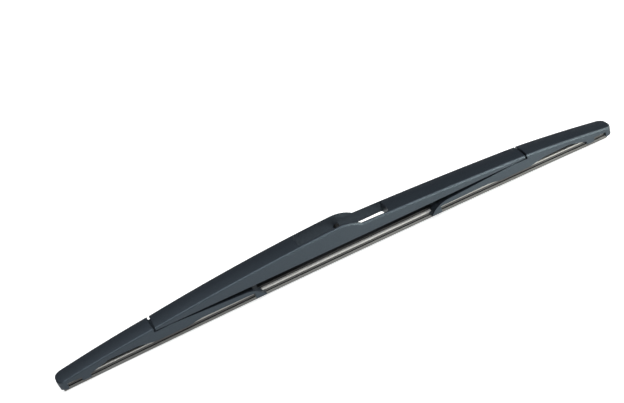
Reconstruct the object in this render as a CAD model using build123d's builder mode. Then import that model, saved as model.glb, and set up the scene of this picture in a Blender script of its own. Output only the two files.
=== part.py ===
from build123d import *
import os
from math import asin, degrees, radians, sqrt, tan

# Rear wiper blade: a moulded bridge, two pivoting levers, a rubber element and two flexor strips.
# X runs along the blade, Y across it and Z away from the glass.
# The origin is the middle of the arm pin. Heights are measured up from the wiping edge
# at mid-length, and stations are distances along the blade from the arm pin.

# Rubber element
RUBBER_LENGTH = 400.0
BOW = 2.0  # the middle of the wiping edge stands this far above its ends
LIP_EDGE = 0.8  # width of the wiping edge
LIP_WIDTH = 5.0
LIP_SHOULDER = 2.8  # height where the tapered lip reaches its full width
LIP_HEIGHT = 3.6
NECK_WIDTH = 1.2
NECK_HEIGHT = 0.9
SHOULDER_WIDTH = 5.5
SHOULDER_HEIGHT = 2.5
GROOVE_WEB = 1.8  # rubber left between the two flexor grooves
HEAD_WIDTH = 4.4
HEAD_HEIGHT = 1.4

# Flexor strips
FLEXOR_LENGTH = 394.0
FLEXOR_WIDTH = 3.3
FLEXOR_THICKNESS = 0.9
FLEXOR_PLAY = 0.05  # between a strip and the rubber groove that holds it

# Moulded channel section, shared by the bridge and the levers
MIDDLE_WIDTH = 17.4  # across the arm pin
END_WIDTH = 15.8  # across the ends of the bridge
WALL = 1.5
TOP_WALL = 1.8
CROWN_RADIUS = 40.0
EDGE_ROUND = 1.3

# Main bridge
BRIDGE_LENGTH = 268.0
BRIDGE_CLEARANCE = 6.6  # from the rubber's head up to the bottom edge of the bridge
BRIDGE_END_HEIGHT = 1.9  # side height at both ends
BRIDGE_END_WALL = 5.0
HIGH_SIDE_STATION = 80.0  # a point on the top of the high half
HIGH_SIDE_HEIGHT = 7.9
BUMP_STATION = 2.5  # where the high half starts to fall towards the arm
BUMP_HEIGHT = 12.8
FOOT_STATION = 13.0  # where that fall meets the low half
FOOT_HEIGHT = 8.2
LOW_SIDE_STATION = 70.0  # a point on the top of the low half
LOW_SIDE_HEIGHT = 5.8
OPENING_LENGTH = 64.0
OPENING_SHIFT = 1.0  # the opening's middle lies this far towards the low half
OPENING_ROUND = 2.0
RIB = 1.2
RIB_SPACING = 26.0
RIB_COUNT = 3
RIB_LIFT = 0.8  # the ribs end above the bottom edge

# Arm pin
PIN_RISE = 4.2  # from the bottom edge of the bridge up to the pin's axis
PIN_RADIUS = 2.0
PIN_SKIN = 0.7  # plastic left outside the blind end of the pin
PIN_SINK = 0.2  # the open end sits this far inside the rear wall

# Lever pivots
PIVOT_INSET = 10.0  # from the end of the bridge to the pivot's axis
PIVOT_DROP = 3.1  # from the bottom edge of the bridge down to the pivot's axis
STUB_RADIUS = 2.0
STUB_LENGTH = 3.0
PIVOT_PLAY = 0.06  # radial running clearance
EAR_RADIUS = 3.2
EAR_WIDTH = 3.2
EAR_PLAY = 0.3  # between an ear and the lever wall beside it

# Levers
SEAM_GAP = 1.4  # between the end of the bridge and the cover of the lever
SEAM_PLAY = 0.35  # between bridge and lever over the pivot
SWING = 2.8  # degrees of room each way about the pivot
INNER_REACH = 60.0  # from the pivot to the middle of the inner claw
INNER_CLAW = 7.5
INNER_END_RUN = 13.2  # length of the rounded inner end
INNER_END_SAGITTA = 1.7
OUTER_CLAW_INSET = 16.0  # from the end of the rubber to the middle of the outer claw
OUTER_CLAW = 6.0
CLAW_LIP = 0.9  # thickness of the claw lips under the flexors
CLAW_PLAY = 0.15  # between a claw and the flexors it holds
CLAW_HEAD_PLAY = 0.3  # between a claw and the rubber
HOOK_LENGTH = 3.6  # closed nose, measured inwards from the end of the rubber
HOOK_DROP = 0.7  # the nose reaches this far below the level of the claws
NOSE_PLAY = 0.4
NOSE_WALL = 1.8
NOSE_ROUND = 5.0
NOSE_WIDTH = 13.4
NOSE_COVER = 1.7  # top edge of the nose above the rubber's head
COVER_BULGE = 0.55  # rise of the cover's arched top above its chord
COVER_END_WALL = 1.5
SEAM_ROUND = 1.2  # rounding of the cover's end at the seam
HOOK_ROUND = 1.2
ARCH_ROUND = 12.0
ARM_HEIGHT = 10.2  # bottom edge of the inner arm and of its cross web
ARM_RISE_START = 9.0  # from the pivot inwards to where the skirt starts to rise to the arm
ARM_RISE_RUN = 11.0
SKIRT_HEIGHT = 8.6  # bottom edge below the pivot
ARCH_HEIGHT = 10.7  # bottom edge between the seam and the outer claw
NOTCH_HEIGHT = 7.1  # bottom edge between the outer claw and the nose
ARCH_OUTER_SHARE = 0.3  # share of the arched bay taken by the slope up from the outer claw
ARCH_FOOT = 2.4  # height of that slope's start above the claw's bottom
ARCH_INNER_SHARE = 0.23  # share taken by the slope down to the skirt
SKIRT_LEAD = 2.0  # the skirt runs on past the seam
WEB = 1.4  # cross web of the inner arm, and floor under the seam
PIVOT_BAY = 8.0  # free length on the inner side of the pivot
PIVOT_ROOM = 4.2  # free length on its outer side

# Heights and stations that follow from the sizes above
FLEXOR_HEIGHT = LIP_HEIGHT + NECK_HEIGHT + SHOULDER_HEIGHT
GROOVE_HEIGHT = FLEXOR_THICKNESS + 2 * FLEXOR_PLAY
HEAD_TOP = FLEXOR_HEIGHT + GROOVE_HEIGHT + HEAD_HEIGHT
FLEXOR_EDGE = GROOVE_WEB / 2 + 2 * FLEXOR_PLAY + FLEXOR_WIDTH
HALF_MIDDLE = MIDDLE_WIDTH / 2
HALF_END = END_WIDTH / 2
HALF_RUBBER = RUBBER_LENGTH / 2
HALF_BRIDGE = BRIDGE_LENGTH / 2
OPENING_START = OPENING_SHIFT - OPENING_LENGTH / 2
OPENING_END = OPENING_SHIFT + OPENING_LENGTH / 2
BRIDGE_BOTTOM = HEAD_TOP + BRIDGE_CLEARANCE
BRIDGE_END_TOP = BRIDGE_BOTTOM + BRIDGE_END_HEIGHT
PIN_HEIGHT = BRIDGE_BOTTOM + PIN_RISE
PIVOT = HALF_BRIDGE - PIVOT_INSET
PIVOT_HEIGHT = BRIDGE_BOTTOM - PIVOT_DROP
COVER_START = HALF_BRIDGE + SEAM_GAP
CROWN = CROWN_RADIUS - sqrt(CROWN_RADIUS**2 - HALF_END**2)
NOSE_END = HALF_RUBBER + NOSE_PLAY + NOSE_WALL
INNER_CLAW_STATION = PIVOT - INNER_REACH
LEVER_START = INNER_CLAW_STATION - INNER_CLAW  # a little inside the inner claw
OUTER_CLAW_STATION = HALF_RUBBER - OUTER_CLAW_INSET
HOOK_START = HALF_RUBBER - HOOK_LENGTH
REACH = 2 * MIDDLE_WIDTH  # well past the outside of every section

# Side view with heights from the wiping edge, and plan view seen from above
SIDE = Plane(origin=(0, 0, -PIN_HEIGHT), x_dir=(1, 0, 0), z_dir=(0, -1, 0))
PLAN = Plane.XY.offset(-PIN_HEIGHT)


def height_on(arc, x):
    """Height of a side-view arc at a station."""
    center = arc.arc_center
    return center.Y + sqrt(arc.radius**2 - (x - center.X) ** 2)


def across(arc, x):
    """Plane across a side-view arc, with Y to its right and the outside of the arc upwards."""
    center = arc.arc_center
    origin = (x, 0, height_on(arc, x) - PIN_HEIGHT)
    return Plane(origin=origin, x_dir=(0, 1, 0), z_dir=(height_on(arc, x) - center.Y, 0, center.X - x))


def along(arc):
    """Axis that a section turns about as it follows a side-view arc."""
    return Axis((arc.arc_center.X, 0, arc.arc_center.Y - PIN_HEIGHT), (0, 1, 0))


def turn(arc, start, stop):
    """Angle between two stations of a side-view arc."""
    center = arc.arc_center
    return degrees(asin((stop - center.X) / arc.radius) - asin((start - center.X) / arc.radius))


def crowned_section(plane, depth):
    """Crowned bar section, drawn wider than the moulding, whose edges meet the plane's X axis."""
    drop = CROWN_RADIUS - sqrt(CROWN_RADIUS**2 - MIDDLE_WIDTH**2)
    with BuildSketch(plane) as section:
        with BuildLine():
            ThreePointArc((-MIDDLE_WIDTH, CROWN - drop), (0, CROWN), (MIDDLE_WIDTH, CROWN - drop))
            Polyline(
                (MIDDLE_WIDTH, CROWN - drop),
                (MIDDLE_WIDTH, -depth),
                (-MIDDLE_WIDTH, -depth),
                (-MIDDLE_WIDTH, CROWN - drop),
            )
        make_face()
    return section.sketch


def core_section(plane):
    """Section of the room under a top wall that lies along the plane's X axis."""
    with BuildSketch(plane) as section:
        with Locations((0, -TOP_WALL)):
            Rectangle(2 * MIDDLE_WIDTH, REACH, align=(Align.CENTER, Align.MAX))
    return section.sketch


# Plan of the bulged side walls, then side views of the rubber's bow, of the three stretches
# of the bridge's top and of the lever's cover
side_arc = ThreePointArc((-HALF_BRIDGE, HALF_END), (0, HALF_MIDDLE), (HALF_BRIDGE, HALF_END))
bow_arc = ThreePointArc((-HALF_RUBBER, -BOW), (0, 0), (HALF_RUBBER, -BOW))
high_arc = ThreePointArc(
    (-HALF_BRIDGE, BRIDGE_END_TOP),
    (-HIGH_SIDE_STATION, BRIDGE_BOTTOM + HIGH_SIDE_HEIGHT),
    (-BUMP_STATION, BRIDGE_BOTTOM + BUMP_HEIGHT),
)
low_arc = ThreePointArc(
    (FOOT_STATION, BRIDGE_BOTTOM + FOOT_HEIGHT),
    (LOW_SIDE_STATION, BRIDGE_BOTTOM + LOW_SIDE_HEIGHT),
    (HALF_BRIDGE, BRIDGE_END_TOP),
)
bump_arc = TangentArc(
    (-BUMP_STATION, BRIDGE_BOTTOM + BUMP_HEIGHT),
    (FOOT_STATION, BRIDGE_BOTTOM + FOOT_HEIGHT),
    tangent=high_arc % 1,
)
NOSE_TOP = height_on(bow_arc, HALF_RUBBER) + HEAD_TOP + NOSE_COVER
cover_arc = SagittaArc((COVER_START, BRIDGE_END_TOP), (HALF_RUBBER, NOSE_TOP), COVER_BULGE)

PIVOT_INSIDE = height_on(side_arc, PIVOT) - WALL  # inner face of the walls at the pivots


def bridge_plan(start, stop, inset):
    """Plan of a length of the bridge, drawn in from its side walls by an inset."""
    stations = (start, (start + stop) / 2, stop)
    with BuildSketch(PLAN.offset(BRIDGE_BOTTOM)) as plan:
        with BuildLine():
            wall = ThreePointArc([(station, height_on(side_arc, station) - inset) for station in stations])
            mirror(about=Plane.XZ)
            for end in (wall @ 0, wall @ 1):
                Line(end, (end.X, -end.Y))
        make_face()
    return plan.sketch


def bridge_length(start, stop, *stretches):
    """Solid length of the bridge with rounded edges along the stretches of its top."""
    with BuildPart() as length:
        for arc, first, last in stretches:
            section = crowned_section(across(arc, first), BUMP_HEIGHT + EDGE_ROUND)
            revolve(section, along(arc), turn(arc, first, last))
        extrude(bridge_plan(start, stop, 0), amount=REACH, mode=Mode.INTERSECT)
        top_edges = length.faces().filter_by(GeomType.TORUS).edges()
        fillet(top_edges.filter_by(lambda edge: abs(edge.center().Y) > HALF_END / 2), EDGE_ROUND)
    return length.part


def bridge_hollow(arc, start, stop):
    """Room between the walls of the bridge's channel."""
    with BuildPart() as hollow:
        revolve(core_section(across(arc, start)), along(arc), turn(arc, start, stop))
        extrude(bridge_plan(start, stop, WALL), amount=REACH, mode=Mode.INTERSECT)
    return hollow.part


with BuildPart() as main_bridge:
    add(
        bridge_length(
            -HALF_BRIDGE,
            FOOT_STATION,
            (high_arc, -HALF_BRIDGE - WALL, -BUMP_STATION),
            (bump_arc, -BUMP_STATION, FOOT_STATION),
        )
    )
    add(bridge_length(-BUMP_STATION, HALF_BRIDGE, (low_arc, -BUMP_STATION, HALF_BRIDGE + WALL)))

    # Channel under each half, open downwards, with cross ribs
    add(bridge_hollow(high_arc, BRIDGE_END_WALL - HALF_BRIDGE, OPENING_START - WALL), mode=Mode.SUBTRACT)
    add(bridge_hollow(low_arc, OPENING_END + WALL, HALF_BRIDGE - BRIDGE_END_WALL), mode=Mode.SUBTRACT)
    for end, first, arc in ((-1, OPENING_START, high_arc), (1, OPENING_END, low_arc)):
        for index in range(RIB_COUNT):
            station = first + end * RIB_SPACING * (index + 0.5)
            rib_top = height_on(arc, station) - TOP_WALL / 2
            with BuildSketch(SIDE):
                with Locations((station, BRIDGE_BOTTOM + RIB_LIFT)):
                    Rectangle(RIB, rib_top - BRIDGE_BOTTOM - RIB_LIFT, align=(Align.CENTER, Align.MIN))
            extrude(amount=height_on(side_arc, station) - WALL / 2, both=True)

    # Opening that the wiper arm reaches through to the pin
    with BuildSketch(PLAN.offset(BRIDGE_BOTTOM - REACH)):
        with Locations((OPENING_SHIFT, 0)):
            RectangleRounded(OPENING_LENGTH, MIDDLE_WIDTH - 2 * WALL, OPENING_ROUND)
    extrude(amount=2 * REACH, mode=Mode.SUBTRACT)

    # Bore for the arm pin, blind in the front wall
    with BuildSketch(Plane.XZ.offset(HALF_MIDDLE - PIN_SKIN)):
        Circle(PIN_RADIUS)
    extrude(amount=-MIDDLE_WIDTH, mode=Mode.SUBTRACT)

    # Pivot ears that stand between the walls of each lever
    for end, arc in ((-1, high_arc), (1, low_arc)):
        ear_top = height_on(arc, end * PIVOT) - TOP_WALL / 2
        for side in (-1, 1):
            with BuildSketch(SIDE.offset(side * (PIVOT_INSIDE - EAR_PLAY))):
                with Locations((end * PIVOT, PIVOT_HEIGHT)):
                    Circle(EAR_RADIUS)
                    Rectangle(2 * EAR_RADIUS, ear_top - PIVOT_HEIGHT, align=(Align.CENTER, Align.MIN))
                    Circle(STUB_RADIUS + PIVOT_PLAY, mode=Mode.SUBTRACT)
            extrude(amount=-side * EAR_WIDTH)

with BuildPart() as arm_pin:
    with BuildSketch(Plane.XZ.offset(HALF_MIDDLE - PIN_SKIN)):
        Circle(PIN_RADIUS)
    extrude(amount=PIN_SKIN + PIN_SINK - MIDDLE_WIDTH)


def claw_bottom(station):
    """Height of the underside of the claw lips, which hook under the flexors."""
    return height_on(bow_arc, station) + FLEXOR_HEIGHT + FLEXOR_PLAY - CLAW_PLAY - CLAW_LIP


def arm_top(station):
    """Top edge of the lever's inner arm, falling away from the bridge on both sides of the pivot."""
    return BRIDGE_BOTTOM - SEAM_PLAY - abs(station - PIVOT) * tan(radians(SWING))


def lever_plan(inset):
    """Plan outline of a lever, drawn in from its outside by an inset."""
    stations = (LEVER_START, (LEVER_START + COVER_START) / 2, COVER_START)
    with BuildSketch(PLAN) as plan:
        with BuildLine():
            wall = ThreePointArc([(station, height_on(side_arc, station)) for station in stations])
            taper = Line(wall @ 1, (NOSE_END, NOSE_WIDTH / 2))
            mirror(about=Plane.XZ)
            for end in (wall @ 0, taper @ 1):
                Line(end, (end.X, -end.Y))
        make_face()
        fillet(plan.vertices().group_by(Axis.X)[-1], NOSE_ROUND)
        if inset:
            offset(amount=-inset, mode=Mode.REPLACE)
    return plan.sketch


inner_claw_inside = INNER_CLAW_STATION + INNER_CLAW / 2
inner_claw_outside = INNER_CLAW_STATION - INNER_CLAW / 2
outer_claw_inside = OUTER_CLAW_STATION - OUTER_CLAW / 2
outer_claw_outside = OUTER_CLAW_STATION + OUTER_CLAW / 2
seam_bottom = arm_top(COVER_START) - WEB

with BuildPart() as lever_hollow:
    extrude(lever_plan(WALL), amount=REACH)
    core = core_section(across(cover_arc, 0))
    revolve(core, along(cover_arc), turn(cover_arc, 0, NOSE_END), mode=Mode.INTERSECT)
    with BuildSketch(SIDE):
        hollow_stretches = (
            (inner_claw_inside, PIVOT - PIVOT_BAY, 0, ARM_HEIGHT),
            (inner_claw_inside, PIVOT - PIVOT_BAY, ARM_HEIGHT + WEB, REACH),
            (PIVOT - PIVOT_BAY, PIVOT + PIVOT_ROOM, 0, REACH),
            (PIVOT + PIVOT_ROOM, COVER_START + COVER_END_WALL, 0, seam_bottom),
            (COVER_START + COVER_END_WALL, outer_claw_inside, 0, REACH),
            (outer_claw_outside, HOOK_START, 0, REACH),
        )
        for start, stop, low, high in hollow_stretches:
            with Locations(((start + stop) / 2, (low + high) / 2)):
                Rectangle(stop - start, high - low)
    extrude(amount=HALF_MIDDLE, both=True, mode=Mode.INTERSECT)

# Room for the rubber and the flexors through the claws and into the nose
with BuildPart() as rubber_way:
    with BuildSketch(across(bow_arc, 0)):
        Rectangle(
            SHOULDER_WIDTH + 2 * CLAW_HEAD_PLAY,
            FLEXOR_HEIGHT + FLEXOR_PLAY,
            align=(Align.CENTER, Align.MIN),
        )
        Rectangle(
            HEAD_WIDTH + 2 * CLAW_HEAD_PLAY,
            HEAD_TOP + CLAW_HEAD_PLAY,
            align=(Align.CENTER, Align.MIN),
        )
        with Locations((0, FLEXOR_HEIGHT + GROOVE_HEIGHT / 2)):
            Rectangle(2 * (FLEXOR_EDGE + CLAW_PLAY), FLEXOR_THICKNESS + 2 * CLAW_PLAY)
    revolve(axis=along(bow_arc), revolution_arc=turn(bow_arc, 0, HALF_RUBBER + NOSE_PLAY))

# Side outline of the right lever: station, height and corner rounding, from the inner claw round
# the underside to the nose and back along the cover and the inner arm
inner_claw_low = claw_bottom(INNER_CLAW_STATION)
outer_claw_low = claw_bottom(OUTER_CLAW_STATION)
hook_low = claw_bottom(HOOK_START) - HOOK_DROP
end_round_start = inner_claw_outside + INNER_END_RUN
skirt_start = PIVOT - ARM_RISE_START
bay_start = COVER_START + SKIRT_LEAD
bay_length = outer_claw_inside - bay_start
lever_outline = (
    (inner_claw_outside, inner_claw_low, 0),
    (inner_claw_inside, inner_claw_low, 0),
    (inner_claw_inside, ARM_HEIGHT, 0),
    (skirt_start - ARM_RISE_RUN, ARM_HEIGHT, ARCH_ROUND),
    (skirt_start, SKIRT_HEIGHT, ARCH_ROUND),
    (bay_start, SKIRT_HEIGHT, ARCH_ROUND),
    (bay_start + bay_length * ARCH_INNER_SHARE, ARCH_HEIGHT, ARCH_ROUND),
    (outer_claw_inside - bay_length * ARCH_OUTER_SHARE, ARCH_HEIGHT, ARCH_ROUND),
    (outer_claw_inside, outer_claw_low + ARCH_FOOT, 0),
    (outer_claw_inside, outer_claw_low, 0),
    (outer_claw_outside, outer_claw_low, 0),
    (outer_claw_outside, NOTCH_HEIGHT, 0),
    (HOOK_START, NOTCH_HEIGHT, 0),
    (HOOK_START, hook_low, 0),
    (NOSE_END, hook_low, HOOK_ROUND),
    (NOSE_END, BRIDGE_END_TOP + CROWN, 0),
    (COVER_START, BRIDGE_END_TOP + CROWN, SEAM_ROUND),
    (COVER_START, arm_top(COVER_START), 0),
    (PIVOT, arm_top(PIVOT), 0),
    (end_round_start, arm_top(end_round_start), 0),
)

with BuildPart() as right_lever:
    extrude(lever_plan(0), amount=REACH)
    cover = crowned_section(across(cover_arc, 0), REACH)
    revolve(cover, along(cover_arc), turn(cover_arc, 0, NOSE_END), mode=Mode.INTERSECT)
    cover_face = right_lever.faces().filter_by(GeomType.TORUS).sort_by(SortBy.AREA)[-1]
    fillet(cover_face.edges().sort_by(Axis.X)[1:], EDGE_ROUND)
    with BuildSketch(SIDE):
        with BuildLine():
            corners = [(station, height) for station, height, _ in lever_outline]
            FilletPolyline(corners, radius=[corner_round for *_, corner_round in lever_outline[1:-1]])
            SagittaArc(corners[-1], corners[0], -INNER_END_SAGITTA)
        make_face()
    extrude(amount=MIDDLE_WIDTH, both=True, mode=Mode.INTERSECT)
    add(lever_hollow.part, mode=Mode.SUBTRACT)
    add(rubber_way.part, mode=Mode.SUBTRACT)

    # Stubs that snap into the bridge's ears
    for side in (-1, 1):
        with BuildSketch(SIDE.offset(side * (PIVOT_INSIDE - STUB_LENGTH))):
            with Locations((PIVOT, PIVOT_HEIGHT)):
                Circle(STUB_RADIUS)
        extrude(amount=side * (STUB_LENGTH + WALL / 2))

with BuildPart() as left_lever:
    mirror(right_lever.part, about=Plane.YZ)

with BuildPart() as rubber_element:
    with BuildSketch(across(bow_arc, -HALF_RUBBER)):
        with BuildLine():
            Polyline(
                (0, 0),
                (LIP_EDGE / 2, 0),
                (LIP_WIDTH / 2, LIP_SHOULDER),
                (LIP_WIDTH / 2, LIP_HEIGHT),
                (NECK_WIDTH / 2, LIP_HEIGHT),
                (NECK_WIDTH / 2, LIP_HEIGHT + NECK_HEIGHT),
                (SHOULDER_WIDTH / 2, LIP_HEIGHT + NECK_HEIGHT),
                (SHOULDER_WIDTH / 2, FLEXOR_HEIGHT),
                (GROOVE_WEB / 2, FLEXOR_HEIGHT),
                (GROOVE_WEB / 2, FLEXOR_HEIGHT + GROOVE_HEIGHT),
                (HEAD_WIDTH / 2, FLEXOR_HEIGHT + GROOVE_HEIGHT),
                (HEAD_WIDTH / 2, HEAD_TOP),
                (0, HEAD_TOP),
            )
            mirror(about=Plane.YZ)
        make_face()
    revolve(axis=along(bow_arc), revolution_arc=turn(bow_arc, -HALF_RUBBER, HALF_RUBBER))


def flexor(side):
    """Spring steel strip in the groove on one side of the rubber's head."""
    half_length = FLEXOR_LENGTH / 2
    with BuildPart() as strip:
        with BuildSketch(across(bow_arc, -half_length)):
            with Locations((side * (FLEXOR_EDGE - FLEXOR_WIDTH / 2), FLEXOR_HEIGHT + GROOVE_HEIGHT / 2)):
                Rectangle(FLEXOR_WIDTH, FLEXOR_THICKNESS)
        revolve(axis=along(bow_arc), revolution_arc=turn(bow_arc, -half_length, half_length))
    return strip


front_flexor = flexor(-1)
rear_flexor = flexor(1)

os.makedirs("parts", exist_ok=True)
pieces = {
    "main_bridge": main_bridge,
    "arm_pin": arm_pin,
    "left_lever": left_lever,
    "right_lever": right_lever,
    "rubber_element": rubber_element,
    "front_flexor": front_flexor,
    "rear_flexor": rear_flexor,
}
for name, piece in pieces.items():
    piece.part.label = name
    export_step(piece.part, f"parts/{name}.step")
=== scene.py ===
import math
from collections import namedtuple

import bpy
from mathutils import Matrix, Vector


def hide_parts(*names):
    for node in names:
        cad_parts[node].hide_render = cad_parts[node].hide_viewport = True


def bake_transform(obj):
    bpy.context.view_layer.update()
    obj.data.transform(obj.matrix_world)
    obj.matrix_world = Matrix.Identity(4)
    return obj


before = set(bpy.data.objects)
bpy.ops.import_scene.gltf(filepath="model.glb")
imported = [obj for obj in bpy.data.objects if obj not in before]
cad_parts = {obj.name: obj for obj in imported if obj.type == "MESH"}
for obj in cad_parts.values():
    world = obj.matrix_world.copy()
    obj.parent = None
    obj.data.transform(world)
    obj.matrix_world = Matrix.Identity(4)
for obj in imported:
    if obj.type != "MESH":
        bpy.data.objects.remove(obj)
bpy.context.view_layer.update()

MM = 0.001

# Sizes of the rubber and the spring strips, in millimetres, as in the part's source
PIN_HEIGHT = 20.2  # of the arm pin over the middle of the wiping edge
HALF_RUBBER = 200.0
BOW = 2.0  # the middle of the wiping edge stands this far above its ends
BOW_RADIUS = (HALF_RUBBER**2 + BOW**2) / (2 * BOW)
LIP_EDGE = 0.8  # width of the wiping edge
LIP_WIDTH = 5.0
LIP_SHOULDER = 2.8  # height where the tapered lip reaches its full width
LIP_HEIGHT = 3.6
NECK_WIDTH = 1.2
NECK_HEIGHT = 0.9
SHOULDER_WIDTH = 5.5
SHOULDER_HEIGHT = 2.5
GROOVE_WEB = 1.8  # rubber left between the two strips' grooves
HEAD_WIDTH = 4.4
HEAD_HEIGHT = 1.4
HALF_FLEXOR = 197.0
FLEXOR_WIDTH = 3.3
FLEXOR_THICKNESS = 0.9
FLEXOR_PLAY = 0.05  # between a strip and the rubber groove that holds it
SHOULDER_BOTTOM = LIP_HEIGHT + NECK_HEIGHT
FLEXOR_HEIGHT = SHOULDER_BOTTOM + SHOULDER_HEIGHT
GROOVE_TOP = FLEXOR_HEIGHT + FLEXOR_THICKNESS + 2 * FLEXOR_PLAY
HEAD_TOP = GROOVE_TOP + HEAD_HEIGHT
FLEXOR_EDGE = GROOVE_WEB / 2 + 2 * FLEXOR_PLAY + FLEXOR_WIDTH

# Fineness of the swept pieces
SWEEP_STEPS = 81
CORNER_STEPS = 3  # straight pieces in a rounded corner
CORNER_SHARE = 0.45  # of a short side that one rounding may take
STRIP_ROUND = 0.12
SHARP_ANGLE = math.radians(32)

# Limits of the marked faces, inside the corners of the sections
LIP_MARGIN = 0.05
SHOULDER_MARGIN = 0.15
STEEPEST_TOP = 0.5  # upward part of the normal, under which a face is a side

# Sockets for colours on a Mix node, whose names its other sockets share
MIX_FACTOR, MIX_FIRST, MIX_SECOND, MIX_RESULT = 0, 6, 7, 2

# Values of the shader groups
SURFACE_OUTPUTS = {"Colour": "colour", "Roughness": "value", "Height": "value"}
NOISE_MIDDLE = 0.5
GRAIN_CONTRAST = 0.35
GRAIN_DARKEST = 0.82
CLOUDS_PER_MM = 0.07
SPECKS_PER_MM = 0.9
LINES_PER_MM = (0.02, 6.0, 6.0)
BLOTCHES_PER_MM = (0.12, 0.4, 0.4)
BLOTCH_SPREAD = 0.3

# Stage and camera, in metres. The camera was found from the blade's own edges in the photograph
FLOOR_REACH = 6.0
FLOOR_GAP = 0.3 * MM  # under the ends of the wiping edge
FLOOR_HEIGHT = -(PIN_HEIGHT + BOW) * MM - FLOOR_GAP
FLOOR_SEEN = 0.75  # strength of its glow for the camera
FLOOR_MIRRORED = 0.1  # and in reflections
CAMERA_ANGLES = (-13.75, 31.61, -17.18)  # azimuth, elevation and roll, in degrees
CAMERA_DISTANCE = 0.7977
CAMERA_AIM = Vector((-0.0124, 0.0, 0.0296))
CAMERA_REACH = 50.0
FOCAL_PIXELS = 1261.7
PHOTO_PIXELS = 624  # width of the photograph
SENSOR_WIDTH = 36.0  # millimetres


def add_object(name, data):
    """New object in the scene."""
    item = bpy.data.objects.new(name, data)
    bpy.context.scene.collection.objects.link(item)
    return item


# Shader groups

def new_group(name, inputs):
    """Shader group for a surface, with value or colour inputs, and its two end nodes."""
    group = bpy.data.node_groups.new(name, "ShaderNodeTree")
    kinds = {"value": "NodeSocketFloat", "colour": "NodeSocketColor"}
    for side, sockets in (("INPUT", inputs), ("OUTPUT", SURFACE_OUTPUTS)):
        for label, kind in sockets.items():
            group.interface.new_socket(label, in_out=side, socket_type=kinds[kind])
    return group, group.nodes.new("NodeGroupInput"), group.nodes.new("NodeGroupOutput")


def add_node(tree, kind, **settings):
    """Shader or geometry node with its plain settings."""
    node = tree.nodes.new(kind)
    for name, value in settings.items():
        setattr(node, name, value)
    return node


def feed(tree, value, socket):
    """Links a socket to another one, or gives it a plain value."""
    if isinstance(value, bpy.types.NodeSocket):
        tree.links.new(value, socket)
    else:
        socket.default_value = value


def math_node(tree, operation, *values, clamp=False):
    """Math node on sockets or numbers."""
    node = add_node(tree, "ShaderNodeMath", operation=operation, use_clamp=clamp)
    for value, socket in zip(values, node.inputs):
        feed(tree, value, socket)
    return node.outputs[0]


def noise(tree, place, scale, detail, roughness):
    """Noise value at a place. Scale is a number or a socket."""
    node = add_node(tree, "ShaderNodeTexNoise")
    values = {"Vector": place, "Scale": scale, "Detail": detail, "Roughness": roughness}
    for label, value in values.items():
        feed(tree, value, node.inputs[label])
    return node.outputs["Fac"]


def object_place(tree, per_mm=(1.0, 1.0, 1.0)):
    """Object coordinates, in millimetres or in so many units per millimetre along each axis."""
    place = add_node(tree, "ShaderNodeTexCoord")
    scale = add_node(tree, "ShaderNodeMapping")
    scale.inputs["Scale"].default_value = [units / MM for units in per_mm]
    tree.links.new(place.outputs["Object"], scale.inputs["Vector"])
    return scale.outputs["Vector"]


def mix_colour(tree, factor, first, second, blend="MIX"):
    """Colour mix of two sockets or colours."""
    node = add_node(tree, "ShaderNodeMix", data_type="RGBA", blend_type=blend)
    for index, value in ((MIX_FACTOR, factor), (MIX_FIRST, first), (MIX_SECOND, second)):
        feed(tree, value, node.inputs[index])
    return node.outputs[MIX_RESULT]


def ramp(tree, value, low, high):
    """Value spread from 0 at a low to 1 at a high limit."""
    node = add_node(tree, "ShaderNodeMapRange", clamp=True)
    tree.links.new(value, node.inputs["Value"])
    node.inputs["From Min"].default_value = low
    node.inputs["From Max"].default_value = high
    return node.outputs["Result"]


def make_moulded_grain():
    """Eroded mould grain with a faint cloudy sheen, and specks of dust in the clouds."""
    group, start, end = new_group(
        "moulded grain",
        {
            "Colour": "colour",
            "Dust colour": "colour",
            "Dust": "value",
            "Grain per mm": "value",
            "Roughness": "value",
            "Roughness spread": "value",
        },
    )
    place = object_place(group)
    grain = noise(group, place, start.outputs["Grain per mm"], detail=3.0, roughness=0.6)
    cloud = noise(group, place, CLOUDS_PER_MM, detail=3.0, roughness=0.55)
    speck = noise(group, place, SPECKS_PER_MM, detail=4.0, roughness=0.7)
    speck = math_node(group, "MULTIPLY", ramp(group, speck, low=0.60, high=0.78), cloud)
    dust = math_node(group, "MULTIPLY", speck, start.outputs["Dust"], clamp=True)
    shade = math_node(group, "MULTIPLY_ADD", grain, GRAIN_CONTRAST, GRAIN_DARKEST)
    colour = mix_colour(group, 1.0, start.outputs["Colour"], shade, blend="MULTIPLY")
    colour = mix_colour(group, dust, colour, start.outputs["Dust colour"])
    sheen = math_node(group, "SUBTRACT", cloud, NOISE_MIDDLE)
    sheen = math_node(group, "MULTIPLY", sheen, start.outputs["Roughness spread"])
    rough = math_node(group, "ADD", start.outputs["Roughness"], sheen)
    rough = math_node(group, "ADD", rough, dust, clamp=True)
    for label, value in zip(SURFACE_OUTPUTS, (colour, rough, grain)):
        group.links.new(value, end.inputs[label])
    return group


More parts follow.
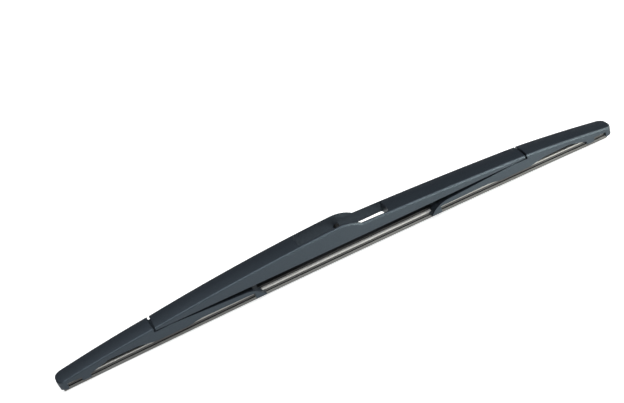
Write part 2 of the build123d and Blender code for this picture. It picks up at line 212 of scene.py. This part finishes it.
def make_drawn_lines():
    """Fine lines along the blade, as rolling and extruding leave them, with a blotchy sheen."""
    group, start, end = new_group(
        "drawn lines",
        {
            "Colour": "colour",
            "Line colour": "colour",
            "Strength": "value",
            "Roughness": "value",
        },
    )
    lines = noise(group, object_place(group, LINES_PER_MM), 1.0, detail=4.0, roughness=0.65)
    blotch = noise(group, object_place(group, BLOTCHES_PER_MM), 1.0, detail=3.0, roughness=0.6)
    mark = ramp(group, lines, low=0.35, high=0.75)
    mark = math_node(group, "MULTIPLY", mark, start.outputs["Strength"], clamp=True)
    colour = mix_colour(group, mark, start.outputs["Colour"], start.outputs["Line colour"])
    sheen = math_node(group, "SUBTRACT", blotch, NOISE_MIDDLE)
    sheen = math_node(group, "MULTIPLY", sheen, BLOTCH_SPREAD)
    rough = math_node(group, "ADD", start.outputs["Roughness"], sheen, clamp=True)
    for label, value in zip(SURFACE_OUTPUTS, (colour, rough, lines)):
        group.links.new(value, end.inputs[label])
    return group


MOULDED_GRAIN = make_moulded_grain()
DRAWN_LINES = make_drawn_lines()


# Materials

def finish_material(name, group, values, bump_strength, bump_height, principled=(), tints=()):
    """Material with one shader group behind its Principled shader, and tints on marked faces."""
    material = bpy.data.materials.new(name)
    material.use_nodes = True
    tree = material.node_tree
    shader = tree.nodes["Principled BSDF"]
    for label, value in principled:
        shader.inputs[label].default_value = value
    surface = add_node(tree, "ShaderNodeGroup", node_tree=group)
    for label, value in values.items():
        surface.inputs[label].default_value = value
    colour = surface.outputs["Colour"]
    for attribute, tint in tints:
        marked = add_node(tree, "ShaderNodeAttribute", attribute_name=attribute)
        colour = mix_colour(tree, marked.outputs["Fac"], colour, tint)
    bump = add_node(tree, "ShaderNodeBump")
    bump.inputs["Strength"].default_value = bump_strength
    bump.inputs["Distance"].default_value = bump_height * MM
    tree.links.new(surface.outputs["Height"], bump.inputs["Height"])
    tree.links.new(colour, shader.inputs["Base Color"])
    tree.links.new(surface.outputs["Roughness"], shader.inputs["Roughness"])
    tree.links.new(bump.outputs["Normal"], shader.inputs["Normal"])
    return material


black_plastic = finish_material(
    "black moulded plastic",
    MOULDED_GRAIN,
    {
        "Colour": (0.0096, 0.0124, 0.0172, 1),
        "Dust colour": (0.12, 0.12, 0.12, 1),
        "Dust": 0.12,
        "Grain per mm": 2.0,
        "Roughness": 0.42,
        "Roughness spread": 0.14,
    },
    bump_strength=0.8,
    bump_height=0.16,
    principled=[("Specular IOR Level", 0.95), ("Specular Tint", (0.70, 0.86, 1.0, 1))],
)
# Dull plated strip, its side faces and ends tinted darker as painted shade
spring_steel = finish_material(
    "rolled spring steel",
    DRAWN_LINES,
    {
        "Colour": (0.80, 0.79, 0.77, 1),
        "Line colour": (0.63, 0.62, 0.60, 1),
        "Strength": 0.5,
        "Roughness": 0.55,
    },
    bump_strength=0.3,
    bump_height=0.01,
    principled=[("Metallic", 0.35)],
    # darker tint: painted shade on the strip's sides and ends
    tints=[("edge", (0.44, 0.435, 0.425, 1))],
)
pin_steel = finish_material(
    "drawn pin steel",
    DRAWN_LINES,
    {
        "Colour": (0.16, 0.15, 0.14, 1),
        "Line colour": (0.08, 0.075, 0.07, 1),
        "Strength": 0.5,
        "Roughness": 0.35,
    },
    bump_strength=0.3,
    bump_height=0.01,
    principled=[("Metallic", 1.0)],
)
# Extruded rubber. The head, the neck and the lip's top face keep a near-black colour as painted
# shade, for the shadow under the bridge and in the gap round the neck. The shoulder gets a grey
# tint where it is lit, and the lip a lighter grey, partly its graphite coat and partly painted
# light.
wiper_rubber = finish_material(
    "extruded wiper rubber",
    DRAWN_LINES,
    {
        # near-black: painted shade on the head, the neck and the lip's top face
        "Colour": (0.010, 0.0105, 0.012, 1),
        "Line colour": (0.006, 0.006, 0.007, 1),
        "Strength": 0.5,
        "Roughness": 0.5,
    },
    bump_strength=0.35,
    bump_height=0.02,
    # lighter tints: the lip's graphite coat plus painted light, and the lit shoulder beside the
    # painted shade of the head
    tints=[("lip", (0.135, 0.135, 0.132, 1)), ("lit_shoulder", (0.058, 0.058, 0.058, 1))],
)


# Swept pieces: the rubber and the two spring strips follow the bowed wiping edge

def make_bowed_sweep():
    """Geometry nodes that sweep a section along the bowed wiping edge, from the middle out."""
    tree = bpy.data.node_groups.new("bowed sweep", "GeometryNodeTree")
    sockets = (
        ("Section", "NodeSocketObject"),
        ("Stop", "NodeSocketFloat"),
        ("Bow radius", "NodeSocketFloat"),
        ("Edge height", "NodeSocketFloat"),
        ("Steps", "NodeSocketInt"),
        ("Material", "NodeSocketMaterial"),
    )
    for label, kind in sockets:
        tree.interface.new_socket(label, in_out="INPUT", socket_type=kind)
    tree.interface.new_socket("Geometry", in_out="OUTPUT", socket_type="NodeSocketGeometry")
    start = add_node(tree, "NodeGroupInput")
    end = add_node(tree, "NodeGroupOutput")
    link = tree.links.new

    stop = add_node(tree, "ShaderNodeCombineXYZ")
    link(start.outputs["Stop"], stop.inputs["X"])
    line = add_node(tree, "GeometryNodeCurvePrimitiveLine")
    link(stop.outputs[0], line.inputs["End"])
    steps = add_node(tree, "GeometryNodeResampleCurve")
    link(line.outputs[0], steps.inputs["Curve"])
    link(start.outputs["Steps"], steps.inputs["Count"])

    place = add_node(tree, "GeometryNodeInputPosition")
    split = add_node(tree, "ShaderNodeSeparateXYZ")
    link(place.outputs[0], split.inputs[0])
    radius = start.outputs["Bow radius"]
    squares = [math_node(tree, "MULTIPLY", side, side) for side in (radius, split.outputs["X"])]
    rise = math_node(tree, "SQRT", math_node(tree, "SUBTRACT", *squares))
    drop = math_node(tree, "SUBTRACT", rise, radius)
    height = math_node(tree, "ADD", drop, start.outputs["Edge height"])
    lift = add_node(tree, "ShaderNodeCombineXYZ")
    link(height, lift.inputs["Z"])
    bend = add_node(tree, "GeometryNodeSetPosition")
    link(steps.outputs[0], bend.inputs["Geometry"])
    link(lift.outputs[0], bend.inputs["Offset"])
    upright = add_node(tree, "GeometryNodeSetCurveNormal", mode="Z_UP")
    link(bend.outputs[0], upright.inputs["Curve"])

    section = add_node(tree, "GeometryNodeObjectInfo")
    link(start.outputs["Section"], section.inputs["Object"])
    sweep = add_node(tree, "GeometryNodeCurveToMesh")
    sweep.inputs["Fill Caps"].default_value = True
    link(upright.outputs[0], sweep.inputs["Curve"])
    link(section.outputs["Geometry"], sweep.inputs["Profile Curve"])
    real = add_node(tree, "GeometryNodeRealizeInstances")
    link(sweep.outputs[0], real.inputs["Geometry"])
    paint = add_node(tree, "GeometryNodeSetMaterial")
    link(real.outputs[0], paint.inputs["Geometry"])
    link(start.outputs["Material"], paint.inputs["Material"])
    link(paint.outputs[0], end.inputs["Geometry"])
    return tree


BOWED_SWEEP = make_bowed_sweep()


def rounded(corners):
    """Section points with each corner rounded. Corners are (y, height, rounding)."""
    points = []
    for index, (y, height, radius) in enumerate(corners):
        here = Vector((y, height))
        before = Vector(corners[index - 1][:2]) - here
        after = Vector(corners[(index + 1) % len(corners)][:2]) - here
        first = here + before.normalized() * min(radius, before.length * CORNER_SHARE)
        last = here + after.normalized() * min(radius, after.length * CORNER_SHARE)
        for step in range(CORNER_STEPS + 1):
            t = step / CORNER_STEPS
            points.append(first * (1 - t) ** 2 + here * 2 * t * (1 - t) + last * t**2)
    return points


def sweep_piece(name, corners, stop, material):
    """Mesh object swept with a section along the wiping edge, from the middle to a station."""
    curve = bpy.data.curves.new(name + " section", "CURVE")
    curve.dimensions = "2D"
    spline = curve.splines.new("POLY")
    points = rounded(corners)
    spline.points.add(len(points) - 1)
    for point, corner in zip(spline.points, points):
        point.co = (corner.x * MM, -corner.y * MM, 0, 1)
    spline.use_cyclic_u = True
    section = add_object(name + " section", curve)
    holder = add_object(name + " sweep", bpy.data.meshes.new(name + " sweep"))
    modifier = holder.modifiers.new("sweep", "NODES")
    modifier.node_group = BOWED_SWEEP
    values = {
        "Section": section,
        "Stop": stop * MM,
        "Bow radius": BOW_RADIUS * MM,
        "Edge height": -PIN_HEIGHT * MM,
        "Steps": SWEEP_STEPS,
        "Material": material,
    }
    for item in BOWED_SWEEP.interface.items_tree:
        if item.in_out == "INPUT":
            modifier[item.identifier] = values[item.name]
    bpy.context.view_layer.update()
    depsgraph = bpy.context.evaluated_depsgraph_get()
    mesh = bpy.data.meshes.new_from_object(holder.evaluated_get(depsgraph))
    mesh.name = name
    mesh.shade_smooth()
    mesh.set_sharp_from_angle(angle=SHARP_ANGLE)
    piece = add_object(name, mesh)
    bpy.data.objects.remove(holder)
    bpy.data.objects.remove(section)
    return piece


def both_sides(half):
    """Closed symmetric section from the points of its right half, from the bottom up."""
    return [*half, *((-y, height, radius) for y, height, radius in reversed(half))]


RUBBER_SECTION = both_sides(
    [
        (LIP_EDGE / 2, 0.0, 0.12),
        (LIP_WIDTH / 2, LIP_SHOULDER, 0.5),
        (LIP_WIDTH / 2, LIP_HEIGHT, 0.25),
        (NECK_WIDTH / 2, LIP_HEIGHT, 0.3),
        (NECK_WIDTH / 2, SHOULDER_BOTTOM, 0.3),
        (SHOULDER_WIDTH / 2, SHOULDER_BOTTOM, 0.25),
        (SHOULDER_WIDTH / 2, FLEXOR_HEIGHT, 0.2),
        (GROOVE_WEB / 2, FLEXOR_HEIGHT, 0.15),
        (GROOVE_WEB / 2, GROOVE_TOP, 0.15),
        (HEAD_WIDTH / 2, GROOVE_TOP, 0.15),
        (HEAD_WIDTH / 2, HEAD_TOP, 0.3),
    ]
)


def strip_section(side):
    """Section of a spring strip in the groove on one side of the rubber's head."""
    inner, outer = FLEXOR_EDGE - FLEXOR_WIDTH, FLEXOR_EDGE
    low = FLEXOR_HEIGHT + FLEXOR_PLAY
    high = low + FLEXOR_THICKNESS
    corners = [(inner, low), (outer, low), (outer, high), (inner, high)]
    return [(side * y, height, STRIP_ROUND) for y, height in corners]


# Middle of a face in its section, in millimetres, and the face's outward normal
Spot = namedtuple("Spot", "y height normal")


def mark_faces(piece, name, chosen):
    """Stores a 1 on the faces that a test picks and a 0 on the others."""
    values = piece.data.attributes.new(name, "FLOAT", "FACE")
    for face, value in zip(piece.data.polygons, values.data):
        drop = BOW_RADIUS - math.sqrt(BOW_RADIUS**2 - (face.center.x / MM) ** 2)
        height = face.center.z / MM + PIN_HEIGHT + drop
        value.value = float(chosen(Spot(face.center.y / MM, height, face.normal)))


def on_lip(spot):
    """The wiping edge and the outer faces of the lip, below the gap round the neck. The lip's top
    face in the gap is left out, so it keeps the near-black painted shade.
    """
    return spot.height < LIP_HEIGHT - LIP_MARGIN


def on_shoulder(spot):
    """The outer faces between the gap and the spring strips, tinted grey as lit, while the head
    above them keeps the near-black painted shade.
    """
    outside = abs(spot.y) > SHOULDER_WIDTH / 2 - SHOULDER_MARGIN
    return outside and SHOULDER_BOTTOM < spot.height < FLEXOR_HEIGHT


def on_shaded_side(spot):
    """The side faces and ends of a strip, which get a darker tint as painted shade."""
    return abs(spot.normal.z) < STEEPEST_TOP


for side_name, end in (("left", -1), ("right", 1)):
    rubber = sweep_piece("rubber_" + side_name, RUBBER_SECTION, end * HALF_RUBBER, wiper_rubber)
    mark_faces(rubber, "lip", on_lip)
    mark_faces(rubber, "lit_shoulder", on_shoulder)
    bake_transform(rubber)
    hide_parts("rubber_element")
    for strip_name, side in (("front_flexor", -1), ("rear_flexor", 1)):
        strip = sweep_piece(
            strip_name + "_" + side_name, strip_section(side), end * HALF_FLEXOR, spring_steel
        )
        mark_faces(strip, "edge", on_shaded_side)
        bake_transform(strip)
        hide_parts(strip_name)

for name, material in (
    ("main_bridge", black_plastic),
    ("left_lever", black_plastic),
    ("right_lever", black_plastic),
    ("arm_pin", pin_steel),
):
    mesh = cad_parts[name].data
    mesh.materials.clear()
    mesh.materials.append(material)


# Stage, light and camera

def make_floor():
    """Pale floor just under the wiping edge. It glows white for the camera, faintly in mirrors."""
    mesh = bpy.data.meshes.new("floor")
    signs = ((-1, -1), (1, -1), (1, 1), (-1, 1))
    corners = [(x * FLOOR_REACH, y * FLOOR_REACH, FLOOR_HEIGHT) for x, y in signs]
    mesh.from_pydata(corners, [], [(0, 1, 2, 3)])
    floor = add_object("floor", mesh)
    material = bpy.data.materials.new("pale floor")
    material.use_nodes = True
    tree = material.node_tree
    shader = tree.nodes["Principled BSDF"]
    shader.inputs["Base Color"].default_value = (0.8, 0.8, 0.8, 1)
    shader.inputs["Roughness"].default_value = 0.9
    shader.inputs["Specular IOR Level"].default_value = 0.0
    shader.inputs["Emission Color"].default_value = (1, 1, 1, 1)
    rays = add_node(tree, "ShaderNodeLightPath").outputs
    mirrored = math_node(tree, "MAXIMUM", rays["Is Glossy Ray"], rays["Is Transmission Ray"])
    mirrored = math_node(tree, "MULTIPLY", mirrored, FLOOR_MIRRORED)
    seen = math_node(tree, "MULTIPLY", rays["Is Camera Ray"], FLOOR_SEEN)
    glow = math_node(tree, "MAXIMUM", seen, mirrored)
    tree.links.new(glow, shader.inputs["Emission Strength"])
    mesh.materials.append(material)


def make_world():
    """Dim even surroundings, white to the camera."""
    world = bpy.data.worlds.new("studio")
    bpy.context.scene.world = world
    world.use_nodes = True
    tree = world.node_tree
    seen = add_node(tree, "ShaderNodeLightPath").outputs["Is Camera Ray"]
    colour = mix_colour(tree, seen, (0.10, 0.11, 0.12, 1), (1, 1, 1, 1))
    tree.links.new(colour, tree.nodes["Background"].inputs["Color"])


def add_softbox(name, place, aim, size, power, colour):
    """Rectangular soft light that faces a point."""
    light = bpy.data.lights.new(name, "AREA")
    light.shape = "RECTANGLE"
    light.size, light.size_y = size
    light.energy = power
    light.color = colour
    lamp = add_object(name, light)
    lamp.visible_camera = False
    lamp.location = place
    direction = Vector(aim) - Vector(place)
    lamp.rotation_euler = direction.to_track_quat("-Z", "Y").to_euler()


def make_camera():
    """Camera at the photograph's angle."""
    azimuth, elevation, roll = (math.radians(angle) for angle in CAMERA_ANGLES)
    back = Vector(
        (
            math.sin(azimuth) * math.cos(elevation),
            -math.cos(azimuth) * math.cos(elevation),
            math.sin(elevation),
        )
    )
    right = Vector((math.cos(azimuth), math.sin(azimuth), 0.0))
    up = back.cross(right)
    across = right * math.cos(roll) + up * math.sin(roll)
    upward = up * math.cos(roll) - right * math.sin(roll)
    turned = Matrix((across, upward, back)).transposed().to_4x4()
    data = bpy.data.cameras.new("camera")
    data.sensor_fit = "HORIZONTAL"
    data.sensor_width = SENSOR_WIDTH
    data.lens = FOCAL_PIXELS * SENSOR_WIDTH / PHOTO_PIXELS
    data.clip_end = CAMERA_REACH
    camera = add_object("camera", data)
    camera.matrix_world = Matrix.Translation(CAMERA_AIM + back * CAMERA_DISTANCE) @ turned
    bpy.context.scene.camera = camera


make_floor()
make_world()
add_softbox(
    "front softbox",
    place=(0.97, -0.24, 0.45),
    aim=(0.1, 0, 0),
    size=(0.6, 0.6),
    power=6.5,
    colour=(1.0, 0.99, 0.87),
)
add_softbox(
    "side softbox",
    place=(0.36, -0.46, -0.006),
    aim=(0.13, 0, -0.006),
    size=(0.35, 0.03),
    power=2.0,
    colour=(0.98, 1.0, 0.90),
)
add_softbox(
    "top softbox",
    place=(0.12, -0.66, 0.95),
    aim=(0, 0, 0),
    size=(1.6, 0.36),
    power=12.5,
    colour=(0.98, 0.99, 1.0),
)
add_softbox(
    "back softbox",
    place=(-0.45, 0.50, 1.05),
    aim=(-0.1, 0, 0),
    size=(0.8, 0.5),
    power=1.7,
    colour=(0.94, 0.97, 1.0),
)
make_camera()
bpy.context.scene.view_settings.view_transform = "Standard"
